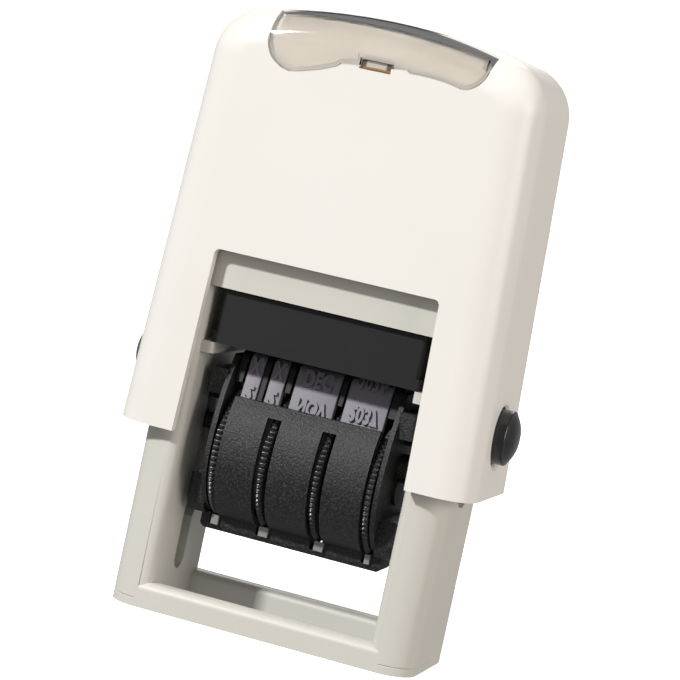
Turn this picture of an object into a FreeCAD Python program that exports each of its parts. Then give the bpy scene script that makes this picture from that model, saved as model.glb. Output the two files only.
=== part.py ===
import FreeCAD, Part
import math
import os
from FreeCAD import Vector

# Self-inking date stamp. Millimetres, X to the right, -Y towards the user, Z up.
# The origin is on the table under the middle of the machine.

# Motion: the cap is pressed, and the carriage turns over by half a turn on the way down.
travel = 22.1
pivot_height = 27.9
flip_angle = math.pi

# Cap
cap_floor_gap = 0.4
cap_head_room = 9.4
cap_side_room = 1.9
cap_face_room = 0.5
cap_wall = 1.3
side_draft = 0.042
face_draft = 0.008
crown_radius = 58.5
shoulder_radius = 6.5
cap_edge_radius = 4.9
opening_low_room = 0.55
opening_high_lap = 0.1
opening_top_lap = 0.15
opening_corner = 0.7
yoke_post_radius = 2.2
yoke_post_offset = 11.0

# Index window in the front edge of the cap's crown
recess_depth = 1.0
recess_floor = 1.0
recess_rim = 1.0
recess_reach = 3.2
recess_left_margin = 9.65
recess_right_margin = 8.4
recess_height = 8.3
recess_top_margin = 0.75
backing_lap = 0.15
window_gap = 0.12
window_sink = 0.08
window_thickness = 0.68
window_head_gap = 0.9
latch_left = -1.5
latch_right = 2.5
latch_rise = 3.4
latch_height = 1.3
latch_depth = 1.6
seal_gap = 0.08
seal_sink = 0.22
card_thickness = 0.2
card_margin = 0.5

# Lock buttons in the cap's sides
button_above_edge = 7.7
button_place = -0.6
button_radius = 3.4
button_gap = 0.25
button_stand = 2.3
button_dome = 1.75
button_edge = 0.25
hole_chamfer = 0.3
button_travel = 0.7
button_flange_radius = 4.2
button_flange = 0.45
button_bore_radius = 2.2
lock_drop = 6.0
lock_room = 0.2

# Base frame
frame_top_lean = 0.3
frame_face_room = 1.0
frame_draft = 0.008
frame_corner = 4.0
frame_taper_lap = 1.5
bridge_height = 4.75
leg_room = 3.1
leg_inner_round = 1.3
bar_height = 3.2
bar_depth = 3.0
bar_round = 1.0
pad_bay_height = 6.85
bridge_floor = 1.45
bridge_wall = 1.5
leg_wall_outer = 1.4
sole_step = 1.5
sole_thickness = 1.15
sole_seam = 0.2

# Yoke that hangs the carriage from the cap
yoke_thickness = 1.7
yoke_half_depth = 3.0
yoke_gap = 0.15
yoke_plate_drop = 6.5
yoke_plate = 1.5

# Return spring
spring_wire = 0.8
spring_sides = 12
spring_radius = 4.5
spring_active_turns = 5
spring_dead_pitch = 1.3
spigot_radius = 3.6
spigot_height = 4.0

# Ink pad
rail_width = 1.5
rail_height = 1.4
rail_lift = 0.2
rail_setback = 1.0
rail_round = 0.55
pad_side_room = 1.3
pad_setback = 1.2
pad_wall = 0.9
pad_flange = 0.3
pad_flange_height = 1.4
pad_slide_gap = 0.05
pad_top_gap = 0.2
pad_stop = 0.5
felt_gap = 0.25
felt_margin = 0.15

# Carriage
cheek_room = 0.25
cheek_thickness = 0.6
cheek_inset = 0.4
cheek_top_half = 4.2
cheek_top_drop = 0.9
trunnion_radius = 1.64
trunnion_end_radius = 1.4
running_gap = 0.06
guide_radius = 4.5
guide_pin_radius = 1.1
guide_pin_reach = 1.1
groove_depth = 1.3
groove_gap = 0.08
inner_wall = 2.0
pin_boss_radius = 1.8
arm_half_length = 6.0
arm_low = 0.3
arm_high = 2.95
arm_room = 0.9
lug_half_length = 4.75
lug_height = 5.0
lug_room = 0.8
lug_round = 2.0

# Wheels and bands
print_reach = 13.1
axle_radius = 1.2
axle_head_radius = 1.9
axle_head = 0.3
rim_radius = 8.5
rim_width = 0.8
knurl_count = 84
knurl_depth = 0.28
drum_radius = 5.65
drum_flutes = 12
flute_radius = 0.55
drum_side_gap = 0.12
hub_radius = 3.4
band_inner_radius = 5.85
band_base = 0.75
band_block = 0.5
band_pitch = 3.6
year_pitch = 5.4
band_groove = 1.1
band_groove_depth = 0.35
anvil_round = 0.45
anvil_half_flat = 2.4
anvil_height = 2.6
anvil_gap = 0.05
anvil_peg_radius = 1.0
anvil_peg_length = 0.55
anvil_peg_drop = 1.2
fin_height = 0.75
fin_clear = 0.45
wheels = {
    # name: left and right edge of the band, middle of the thumb rim
    "day_tens": (-9.35, -7.35, -10.05),
    "day_units": (-6.3, -4.3, -3.8),
    "month": (-3.05, 2.65, 3.2),
    "year": (3.75, 9.2, 10.0),
}
fins = ((-10.5, -9.6), (-4.0, -3.35), (2.95, 3.5), (9.45, 10.5))
web_left = -7.12
web_right = -6.53

# Cover over the wheels
cover_side_room = 1.25
cover_over_rim = 0.1
cover_wall = 0.7
cover_rise = 7.3
cover_top_inset = 2.2
cover_slots = ((-4.56, -2.75), (2.57, 4.37))
slot_rise = 5.8
rim_clear = 0.2
lip_past_cheek = 0.6
lip_half_depth = 2.4
lip_below_rim = 1.7
lip_height = 2.2
lip_round = 0.8
comb_tabs = ((-10.4, -9.5), (-4.07, -2.9), (3.24, 4.42), (9.85, 10.5))
comb_notches = (-10.75, -4.56, 2.57, 9.35)
comb_tab_lift = 0.85
comb_tab_height = 1.45
comb_tab_half_depth = 2.9
comb_gap = 0.15
comb_bar_half_depth = 0.8
comb_bar_height = 0.6
comb_bar_lift = 0.6
comb_end_room = 0.1
comb_clear = 0.05

# Worked out from the sizes above
rim_reach = max(abs(rim) for _, _, rim in wheels.values()) + rim_width / 2
cheek_inner = rim_reach + cheek_room
cheek_outer = cheek_inner + cheek_thickness
leg_inner = cheek_outer + leg_room
arm_out = leg_inner - arm_room
lug_out = leg_inner - lug_room
pad_half_width = leg_inner - pad_side_room
channel_inner = leg_inner + inner_wall
yoke_inner = channel_inner + yoke_gap
yoke_outer = yoke_inner + yoke_thickness
channel_outer = yoke_outer + yoke_gap
frame_half_width = channel_outer + leg_wall_outer
frame_half_top = frame_half_width - frame_top_lean
cap_half_width = frame_half_width + cap_side_room + cap_wall
sole_start = leg_inner + sole_step
opening_half_low = leg_inner + opening_low_room
opening_half_high = leg_inner - opening_high_lap
recess_left = recess_left_margin - cap_half_width
recess_right = cap_half_width - recess_right_margin
cover_half_width = cheek_inner - cover_side_room
lip_half_width = cheek_outer + lip_past_cheek
comb_half_length = cheek_inner - comb_end_room

cheek_radius = rim_radius - cheek_inset
cover_radius = rim_radius + cover_over_rim
cover_top_reach = cover_radius - cover_top_inset
frame_half_depth = cover_radius + frame_face_room
cap_half_depth = frame_half_depth + cap_face_room + cap_wall
pad_half_depth = frame_half_depth - pad_setback
rail_half_length = frame_half_depth - rail_setback
recess_back = recess_reach - cap_half_depth

print_radius = pivot_height - travel
print_face = pivot_height + print_radius
wheel_height = print_face - print_reach
cover_top = wheel_height + cover_rise
slot_top = wheel_height + slot_rise
lip_bottom = wheel_height - rim_radius - lip_below_rim
lip_top = lip_bottom + lip_height
comb_bar_bottom = lip_bottom + comb_bar_lift
comb_tab_bottom = lip_bottom + comb_tab_lift
comb_tab_top = comb_tab_bottom + comb_tab_height
anvil_top = print_face - band_base - band_block
anvil_centre = anvil_top - anvil_round
felt_bottom = print_face + felt_gap
rail_top = print_face + rail_lift
rail_bottom = rail_top - rail_height
pad_bottom = rail_top + pad_slide_gap
bridge_bottom = rail_top + pad_bay_height
pad_top = bridge_bottom - pad_top_gap
spring_bottom = bridge_bottom + bridge_floor
frame_top = bridge_bottom + bridge_height
opening_top = frame_top - opening_top_lap
cap_bottom = travel + cap_floor_gap
cap_top = frame_top + travel + cap_head_room
frame_taper_start = cap_bottom + frame_taper_lap
button_height = cap_bottom + button_above_edge
lock_depth = button_travel + lock_room
yoke_plate_bottom = cap_top - yoke_plate_drop
recess_high = cap_top - recess_top_margin
recess_low = recess_high - recess_height
backing_bottom = recess_low - backing_lap
window_top = recess_high - window_head_gap
latch_top = recess_low + latch_rise
latch_low = latch_top - latch_height
crown_centre = cap_top - crown_radius
slot_half = trunnion_radius + running_gap
spare = 5.0


def box(x0, x1, y0, y1, z0, z1):
    """Block between two corners."""
    return Part.makeBox(x1 - x0, y1 - y0, z1 - z0, Vector(x0, y0, z0))


def rod(radius, x0, x1, y, z):
    """Round bar along X."""
    return Part.makeCylinder(radius, x1 - x0, Vector(x0, y, z), Vector(1, 0, 0))


def mirrored(shape):
    """The same piece on the other side of the machine."""
    return shape.mirror(Vector(0, 0, 0), Vector(1, 0, 0))


def seen_from_side(x):
    """Places a point (y, z) in the plane at this x."""
    return lambda y, z: Vector(x, y, z)


def seen_from_front(y):
    """Places a point (x, z) in the plane at this y."""
    return lambda x, z: Vector(x, y, z)


def outline(place, start, steps):
    """Closed face. A step is the end of a line, or the middle and the end of an arc."""
    edges = []
    here = start
    for step in list(steps) + [start]:
        if isinstance(step[0], tuple):
            middle, end = step
            edges.append(Part.Arc(place(*here), place(*middle), place(*end)).toShape())
        else:
            end = step
            if math.dist(here, end) > 1e-6:
                edges.append(Part.LineSegment(place(*here), place(*end)).toShape())
        here = end
    return Part.Face(Part.Wire(edges))


def rounded_rectangle(half_x, half_y, radius, z):
    """Closed wire with four round corners, in a level plane."""
    edges = []
    slant = radius * (1 - math.sqrt(0.5))
    corners = ((1, 1), (-1, 1), (-1, -1), (1, -1))
    ends = []
    for sx, sy in corners:
        on_x = Vector(sx * half_x, sy * (half_y - radius), z)
        middle = Vector(sx * (half_x - slant), sy * (half_y - slant), z)
        on_y = Vector(sx * (half_x - radius), sy * half_y, z)
        arc = (on_x, middle, on_y) if sx * sy > 0 else (on_y, middle, on_x)
        ends.append(arc)
    for number, arc in enumerate(ends):
        edges.append(Part.Arc(*arc).toShape())
        edges.append(Part.LineSegment(arc[2], ends[(number + 1) % len(ends)][0]).toShape())
    return Part.Wire(edges)


def join(shapes):
    """One solid from pieces that meet."""
    return shapes[0].fuse(list(shapes[1:])).removeSplitter()


def edges_where(shape, test):
    """Edges whose bounding box passes the test."""
    return [edge for edge in shape.Edges if test(edge.BoundBox)]


# The cap

def side_of_cap(z, inset):
    """Half width of the drafted cap at this height."""
    return cap_half_width - inset - side_draft * (z - cap_bottom)


def face_of_cap(z, inset):
    """Half depth of the drafted cap at this height."""
    return cap_half_depth - inset - face_draft * (z - cap_bottom)


def shoulder_corner(inset):
    """Where the drafted side line would meet the crown's arc."""
    width = cap_half_width - inset
    rise = cap_bottom - crown_centre
    radius = crown_radius - inset
    square = 1 + side_draft ** 2
    half = rise - width * side_draft
    rest = width ** 2 + rise ** 2 - radius ** 2
    height = (-half + math.sqrt(half ** 2 - square * rest)) / square
    return width - side_draft * height, cap_bottom + height


def cap_form(inset, foot):
    """The cap's drafted, crowned and rounded form, drawn in all round by an inset."""
    corner_x, corner_z = shoulder_corner(inset)
    low = side_of_cap(foot, inset)
    front = outline(
        seen_from_front(-cap_half_depth - spare),
        (-low, foot),
        [
            (low, foot),
            (corner_x, corner_z),
            ((0, cap_top - inset), (-corner_x, corner_z)),
        ],
    ).extrude(Vector(0, 2 * (cap_half_depth + spare), 0))
    above = cap_top + spare
    side = outline(
        seen_from_side(-cap_half_width - spare),
        (-face_of_cap(foot, inset), foot),
        [
            (face_of_cap(foot, inset), foot),
            (face_of_cap(above, inset), above),
            (-face_of_cap(above, inset), above),
        ],
    ).extrude(Vector(2 * (cap_half_width + spare), 0, 0))
    form = front.common(side)
    shoulders = edges_where(form, lambda b: b.XLength < 0.01 and b.ZMin > corner_z - 0.01)
    form = form.makeFillet(shoulder_radius - inset, shoulders)
    rims = []
    for face in form.Faces:
        low_v, high_v = face.ParameterRange[0:2], face.ParameterRange[2:4]
        normal = face.normalAt(sum(low_v) / 2, sum(high_v) / 2)
        if abs(normal.y) > 0.9:
            rims += [edge for edge in face.Edges if edge.BoundBox.ZMax > foot + 0.01]
    return form.makeFillet(cap_edge_radius - inset, rims)


def opening():
    """Tall opening through the cap from front to rear, open at the cap's lower edge."""
    top = opening_top
    y0 = -cap_half_depth - spare
    slope = (opening_half_low - opening_half_high) / (top - cap_bottom)
    low = opening_half_low + slope * spare
    high = opening_half_high
    cut = outline(
        seen_from_front(y0),
        (-low, cap_bottom - spare),
        [(low, cap_bottom - spare), (high, top), (-high, top)],
    ).extrude(Vector(0, -2 * y0, 0))
    corners = edges_where(cut, lambda b: b.ZMin > top - 0.01 and b.XLength < 0.01)
    return cut.makeFillet(opening_corner, corners)


def recess_face(y):
    """Outline of the index window's recess: two lobes below, a shallow arch above."""
    return outline(
        seen_from_front(y),
        (recess_left + 0.25, recess_high - 1.2),
        [
            (recess_left, recess_low + 3.75),
            ((recess_left + 0.95, recess_low + 1.25), (-9.75, recess_low)),
            ((-7.0, recess_low + 0.62), (-4.0, recess_low + 1.8)),
            (-3.75, recess_low + 2.15),
            (4.4, recess_low + 2.95),
            (4.75, recess_low + 2.65),
            (7.4, recess_low + 2.65),
            ((9.5, recess_low + 2.45), (11.4, recess_low + 2.05)),
            ((recess_right - 1.3, recess_low + 2.95), (recess_right - 0.45, recess_low + 4.65)),
            (recess_right, recess_high - 1.1),
            ((0.7, recess_high), (recess_left + 0.25, recess_high - 1.2)),
        ],
    )


def window_face(y, margin):
    """Outline of the clear window: the recess less a gap, with a lower top edge."""
    inside = recess_face(y).makeOffset2D(-window_gap - margin)
    low = recess_low - spare
    trim = outline(
        seen_from_front(y),
        (recess_left - spare, low),
        [
            (recess_right + spare, low),
            (recess_right + spare, recess_low + 4.4),
            (recess_right - 1.0 - margin, recess_low + 4.8),
            (recess_right - 1.1 - margin, window_top - 1.2 - margin),
            ((0.7, window_top - margin), (recess_left + 0.9 + margin, window_top - 0.7 - margin)),
            (recess_left + 0.6 + margin, recess_low + 4.3),
            (recess_left - spare, recess_low + 3.8),
        ],
    )
    return inside.common(trim).Faces[0]


def front_skin(face, outer, inner):
    """The part of a face's prism that lies between two insets of the cap's form."""
    prism = face.extrude(Vector(0, recess_back + cap_half_depth + spare, 0))
    foot = recess_low - spare
    return prism.common(cap_form(outer, foot)).cut(cap_form(inner, foot))


def make_cap_shell():
    shell = cap_form(0, cap_bottom).cut(cap_form(cap_wall, cap_bottom - spare))
    front = -cap_half_depth - spare
    backing = recess_face(front).makeOffset2D(recess_rim)
    backing = front_skin(backing, cap_wall / 2, recess_depth + recess_floor)
    wide = cap_half_width
    shell = shell.fuse(backing.common(box(-wide, wide, front, 0, backing_bottom, cap_top)))
    ceiling = cap_form(cap_wall / 2, cap_bottom)
    plate_top = yoke_plate_bottom + yoke_plate
    for side in (-1, 1):
        foot = Vector(side * yoke_post_offset, 0, plate_top)
        post = Part.makeCylinder(yoke_post_radius, cap_top - plate_top, foot)
        shell = shell.fuse(post.common(ceiling))
    recess = recess_face(front).extrude(Vector(0, recess_back - front, 0))
    shell = shell.cut(recess.cut(cap_form(recess_depth, recess_low - spare)))
    shell = shell.cut(box(latch_left, latch_right, front, -face_of_cap(latch_low, recess_depth + latch_depth),
                          latch_low, latch_top - 0.1))
    shell = shell.cut(opening())
    reach = cap_half_width + spare
    hole = rod(button_radius + button_gap, -reach, reach, button_place, button_height)
    mouth = side_of_cap(button_height + button_radius, 0) - hole_chamfer
    flare = Part.makeCone(button_radius + button_gap, button_radius + button_gap + 4 * hole_chamfer,
                          4 * hole_chamfer, Vector(mouth, button_place, button_height), Vector(1, 0, 0))
    return shell.cut([hole, flare, mirrored(flare)]).removeSplitter()


def make_window_seal():
    """Dark strip that closes the gap between the window's upper edge and the recess."""
    front = -cap_half_depth - spare
    face = recess_face(front).makeOffset2D(-seal_gap / 2)
    above = outline(
        seen_from_front(front),
        (recess_left - spare, recess_high + spare),
        [
            (recess_left - spare, window_top - 0.62),
            (recess_left + 0.9, window_top - 0.7 + seal_gap),
            ((0.7, window_top + seal_gap), (recess_right - 1.1, window_top - 1.2 + seal_gap)),
            (recess_right - 0.55, window_top - 1.9),
            (recess_right + spare, window_top - 1.9),
            (recess_right + spare, recess_high + spare),
        ],
    )
    return front_skin(face.common(above).Faces[0], seal_sink, recess_depth)


def make_index_window():
    front = -cap_half_depth - spare
    window = front_skin(window_face(front, 0), window_sink, window_sink + window_thickness)
    notch = box(latch_left, latch_right, front, 0, recess_low - spare, latch_top)
    return window.cut(notch)


def make_index_card():
    front = -cap_half_depth - spare
    card = front_skin(window_face(front, card_margin), recess_depth - card_thickness, recess_depth)
    notch = box(latch_left - card_margin, latch_right + card_margin, front, 0,
                recess_low - spare, latch_top + card_margin)
    return card.cut(notch)


def make_lock_button():
    """Round push button with a domed face, hollow inside, with a flange behind the wall."""
    wall = side_of_cap(button_height, 0)
    face = wall + button_stand
    flange_out = side_of_cap(button_height + button_flange_radius, cap_wall) - button_flange / 4
    back = flange_out - button_flange
    rim = button_radius - button_edge
    sphere = (rim ** 2 + button_dome ** 2) / (2 * button_dome)
    centre = Vector(face - sphere, button_place, button_height)
    ball = Part.makeSphere(sphere, centre)
    ball.rotate(centre, Vector(0, 0, 1), 180)
    front = face - button_dome
    stem = rod(button_radius, back, front, button_place, button_height)
    stem = stem.makeChamfer(button_edge, edges_where(stem, lambda b: b.XMin > front - 0.01))
    dome = ball.common(rod(button_radius, front - button_edge / 2, face + 1, button_place, button_height))
    dome = dome.common(rod(rim, front - button_edge / 2, face + 1, button_place, button_height))
    flange = rod(button_flange_radius, back, flange_out, button_place, button_height)
    bore = rod(button_bore_radius, back - 1, wall - cap_wall, button_place, button_height)
    return stem.fuse([dome, flange]).cut(bore).removeSplitter()


def make_yoke():
    """Inverted U: a plate under the crown, and two arms that carry the trunnions."""
    top = yoke_plate_bottom + yoke_plate
    plate = box(-yoke_outer, yoke_outer, -yoke_half_depth, yoke_half_depth, yoke_plate_bottom, top)
    arm = outline(
        seen_from_side(yoke_inner),
        (-yoke_half_depth, top),
        [
            (-yoke_half_depth, pivot_height),
            ((0, pivot_height - yoke_half_depth), (yoke_half_depth, pivot_height)),
            (yoke_half_depth, top),
        ],
    ).extrude(Vector(yoke_thickness, 0, 0))
    arm = arm.cut(rod(trunnion_end_radius + running_gap, channel_inner, channel_outer, 0, pivot_height))
    spigot = Part.makeCylinder(spigot_radius, spigot_height / 2, Vector(0, 0, yoke_plate_bottom),
                               Vector(0, 0, -1))
    corners = edges_where(plate, lambda b: b.XLength < 0.01 and b.ZLength < 0.01 and b.ZMin > top - 0.01)
    return join([plate.makeFillet(yoke_plate / 2, corners), spigot,
                 arm.common(box(0, yoke_outer, -spare, spare, 0, yoke_plate_bottom + 0.2)),
                 mirrored(arm).common(box(-yoke_outer, 0, -spare, spare, 0, yoke_plate_bottom + 0.2))])


# The frame

def frame_depth(z):
    """Half depth of the drafted frame at this height."""
    return frame_half_depth - frame_draft * z


def frame_block():
    """Outer form of the frame: straight legs that draw in a little towards the top."""
    places = (
        (frame_half_width, 0),
        (frame_half_width, frame_taper_start),
        (frame_half_top, frame_top),
    )
    sections = [rounded_rectangle(x, frame_depth(z), frame_corner, z) for x, z in places]
    return Part.makeLoft(sections, True, True)


def doorway(z0, z1):
    """Space between the legs, flared at the front and the rear so that the edges are round."""
    round_at = frame_depth(bridge_bottom / 2)
    slant = leg_inner_round * (1 - math.sqrt(0.5))
    wide = leg_inner + leg_inner_round
    inner = round_at - leg_inner_round
    reach = frame_half_depth + spare

    def place(x, y):
        return Vector(x, y, z0)

    return outline(
        place,
        (-wide, -reach),
        [
            (wide, -reach),
            (wide, -round_at),
            ((leg_inner + slant, -round_at + slant), (leg_inner, -inner)),
            (leg_inner, inner),
            ((leg_inner + slant, round_at - slant), (wide, round_at)),
            (wide, reach),
            (-wide, reach),
            (-wide, round_at),
            ((-leg_inner - slant, round_at - slant), (-leg_inner, inner)),
            (-leg_inner, -inner),
            ((-leg_inner - slant, -round_at + slant), (-wide, -round_at)),
        ],
    ).extrude(Vector(0, 0, z1 - z0))


def foot_bar():
    """Bar across the foot in front, with its upper edges rounded."""
    outer = -frame_half_depth
    inner = outer + bar_depth
    low = bar_height - bar_round
    slant = bar_round * (1 - math.sqrt(0.5))
    top = outer + frame_draft * bar_height
    return outline(
        seen_from_side(-leg_inner - leg_inner_round - 0.2),
        (outer, 0),
        [
            (top, low),
            ((top + slant, bar_height - slant), (top + bar_round, bar_height)),
            (inner - bar_round, bar_height),
            ((inner - slant, bar_height - slant), (inner, low)),
            (inner, 0),
        ],
    ).extrude(Vector(2 * (leg_inner + leg_inner_round + 0.2), 0, 0))


def guide_place(angle):
    """Place (y, z) of the guide pin when the carriage has turned by this angle."""
    drop = travel * angle / flip_angle
    y = guide_radius * math.sin(angle)
    z = pivot_height - drop - guide_radius * math.cos(angle)
    return y, z


def guide_edge(side, count):
    """Points beside the pin's path, square to it, at the groove's half width."""
    half = guide_pin_radius + groove_gap
    points = []
    for number in range(count + 1):
        angle = flip_angle * number / count
        y, z = guide_place(angle)
        along_y = guide_radius * math.cos(angle)
        along_z = guide_radius * math.sin(angle) - travel / flip_angle
        length = math.hypot(along_y, along_z)
        points.append((y - side * half * along_z / length, z + side * half * along_y / length))
    return points


def cam_groove():
    """Groove that the guide pin follows while the cap goes down: it turns the carriage over."""
    place = seen_from_side(leg_inner - spare)
    outer = guide_edge(1, 16)
    inner = guide_edge(-1, 16)
    sides = []
    for points in (outer, inner[::-1]):
        curve = Part.BSplineCurve()
        curve.interpolate([place(*point) for point in points])
        sides.append(curve.toShape())
    low = Part.LineSegment(place(*outer[-1]), place(*inner[-1])).toShape()
    high = Part.LineSegment(place(*inner[0]), place(*outer[0])).toShape()
    groove = Part.Face(Part.Wire([sides[0], low, sides[1], high]))
    groove = groove.extrude(Vector(spare + groove_depth, 0, 0))
    x0 = leg_inner - spare
    x1 = leg_inner + groove_depth
    half = guide_pin_radius + groove_gap
    ends = [rod(half, x0, x1, *guide_place(0)), rod(half, x0, x1, *guide_place(flip_angle))]
    return [groove] + ends


def trunnion_slot():
    """Upright slot with round ends, from the pivot's rest height to its pressed height."""
    high = pivot_height
    low = pivot_height - travel
    return outline(
        seen_from_side(leg_inner - spare),
        (-slot_half, low),
        [
            ((0, low - slot_half), (slot_half, low)),
            (slot_half, high),
            ((0, high + slot_half), (-slot_half, high)),
        ],
    ).extrude(Vector(spare + inner_wall + 0.1, 0, 0))


def leg_cuts():
    """What is taken out of the right leg for the yoke, the trunnion, the pin and the lock."""
    half = yoke_half_depth + 1.4 * yoke_gap
    floor = pivot_height - travel - yoke_half_depth - 0.4
    channel = box(channel_inner, channel_outer, -half, half, floor, frame_top + spare)
    lock = rod(button_radius + button_gap, frame_half_width - lock_depth, frame_half_width + spare,
               button_place, button_height - lock_drop)
    return [channel, trunnion_slot(), lock] + cam_groove()


def sole_box(side):
    """Space of one sole plate under a leg."""
    x0, x1 = sorted((side * sole_start, side * (frame_half_width + spare)))
    return box(x0, x1, -frame_half_depth - spare, frame_half_depth + spare, -spare, sole_thickness)


def make_base_frame():
    frame = frame_block().cut(doorway(-spare, bridge_bottom))
    bar = foot_bar()
    rear = bar.mirror(Vector(0, 0, 0), Vector(0, 1, 0))
    frame = frame.fuse([bar, rear])
    trough = channel_inner - 1.3
    inside = frame_depth(frame_top) - bridge_wall
    frame = frame.cut(box(-trough, trough, -inside, inside, spring_bottom, frame_top + spare))
    spigot = Part.makeCylinder(spigot_radius, spigot_height, Vector(0, 0, spring_bottom))
    rail = box(leg_inner - rail_width, leg_inner + 0.3, -rail_half_length, rail_half_length,
               rail_bottom, rail_top)
    ends = edges_where(rail, lambda b: b.XMax < leg_inner and b.ZLength > 1 and b.YMax < 0)
    rail = rail.makeFillet(rail_round, ends)
    stop = box(leg_inner - rail_width, leg_inner + 0.3, pad_half_depth + 0.1,
               pad_half_depth + 0.1 + pad_stop, rail_top - 0.1, pad_bottom + pad_flange_height)
    frame = frame.fuse([spigot, rail, stop, mirrored(rail), mirrored(stop)])
    for cut in leg_cuts():
        frame = frame.cut(cut).cut(mirrored(cut))
    return frame.cut(sole_box(1)).cut(sole_box(-1)).removeSplitter()


def make_sole_plate(side):
    """Thin plate that closes a leg from below, with a seam along its upper outer edge."""
    plate = frame_block().common(sole_box(side))
    rim = edges_where(plate, lambda b: b.ZMin > sole_thickness - 0.01
                      and max(abs(b.XMin), abs(b.XMax)) > sole_start + 0.1)
    return plate.makeChamfer(sole_seam, rim)


# The return spring

def helix_place(turn):
    """Point and direction on the spring's centre line, with a close turn at each end."""
    low = spring_bottom + spring_wire / 2
    high = yoke_plate_bottom - spring_wire / 2
    last = spring_active_turns + 2
    active = (high - low - 2 * spring_dead_pitch) / spring_active_turns
    middle = min(max(turn - 1, 0), spring_active_turns)
    z = low + spring_dead_pitch * (min(turn, 1) + max(turn - last + 1, 0)) + active * middle
    angle = 2 * math.pi * turn
    climb = active if 1 <= turn <= last - 1 else spring_dead_pitch
    if turn in (1, last - 1):
        climb = (active + spring_dead_pitch) / 2
    point = Vector(spring_radius * math.cos(angle), spring_radius * math.sin(angle), z)
    along = Vector(-2 * math.pi * spring_radius * math.sin(angle),
                   2 * math.pi * spring_radius * math.cos(angle), climb)
    return point, along.normalize()


def tangent_arc(start, corner, end):
    """Arc that leaves start and reaches end along lines through the corner."""
    middle = (start + end) * 0.5
    half = (end - start).Length / 2
    rise = (corner - middle).Length
    bulge = half * math.tan(math.atan2(rise, half) / 2)
    return Part.Arc(start, middle + (corner - middle) * (bulge / rise), end).toShape()


def biarc(start, start_way, end, end_way):
    """Two arcs that join two points along their directions."""
    span = end - start
    ways = start_way + end_way
    square = ways.dot(ways) - 4
    half = span.dot(ways)
    reach = (half - math.sqrt(half ** 2 - square * span.dot(span))) / square
    first = start + start_way * reach
    second = end - end_way * reach
    middle = (first + second) * 0.5
    return [tangent_arc(start, first, middle), tangent_arc(middle, second, end)]


def wire_section(centre, along):
    """Twelve-sided section of the wire, within its tolerance of a circle."""
    across = along.cross(Vector(0, 0, 1)).normalize()
    up = across.cross(along)
    points = []
    for number in range(spring_sides + 1):
        angle = 2 * math.pi * number / spring_sides
        points.append(centre + across * (spring_wire / 2 * math.cos(angle))
                      + up * (spring_wire / 2 * math.sin(angle)))
    return Part.makePolygon(points)


def make_return_spring():
    steps = 4 * (spring_active_turns + 2)
    places = [helix_place(number / 4) for number in range(steps + 1)]
    edges = []
    for (start, start_way), (end, end_way) in zip(places, places[1:]):
        edges += biarc(start, start_way, end, end_way)
    path = Part.Wire(edges)
    section = wire_section(*places[0])
    print("spring gap between turns", round(spring_dead_pitch - spring_wire, 2), "mm")
    return path.makePipeShell([section], True, False)


# The ink pad

def make_pad_tray():
    """Tray that is open below, with side flanges that run on the frame's rails."""
    body = box(-pad_half_width, pad_half_width, -pad_half_depth, pad_half_depth, pad_bottom, pad_top)
    upright = edges_where(body, lambda b: b.ZLength > 1)
    body = body.makeFillet(pad_wall / 2, upright)
    reach = pad_half_width + pad_flange
    flange = box(-reach, reach, -pad_half_depth, pad_half_depth, pad_bottom,
                 pad_bottom + pad_flange_height)
    flange = flange.makeFillet(pad_flange, edges_where(flange, lambda b: b.ZLength > 1))
    inside = box(-pad_half_width + pad_wall, pad_half_width - pad_wall,
                 -pad_half_depth + pad_wall, pad_half_depth - pad_wall, pad_bottom - 1,
                 pad_top - pad_wall)
    return body.fuse(flange).cut(inside).removeSplitter()


def make_ink_felt():
    """Inked felt under the tray's ceiling."""
    gap = pad_wall + felt_margin
    felt = box(-pad_half_width + gap, pad_half_width - gap, -pad_half_depth + gap,
               pad_half_depth - gap, felt_bottom, pad_top - pad_wall)
    return felt.makeFillet(1.0, edges_where(felt, lambda b: b.ZLength > 0.5))


# The carriage

def bulge(radius, reach, top):
    """Centre and radius of the arc from a wheel guard's widest point up to its narrower top."""
    rise = top - wheel_height
    inward = radius - reach
    big = (inward ** 2 + rise ** 2) / (2 * inward)
    return big - radius, big


def on_bulge(radius, reach, top, height):
    """How far the arc stands from the middle at this height."""
    centre, big = bulge(radius, reach, top)
    return math.sqrt(big ** 2 - (height - wheel_height) ** 2) - centre


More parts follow.
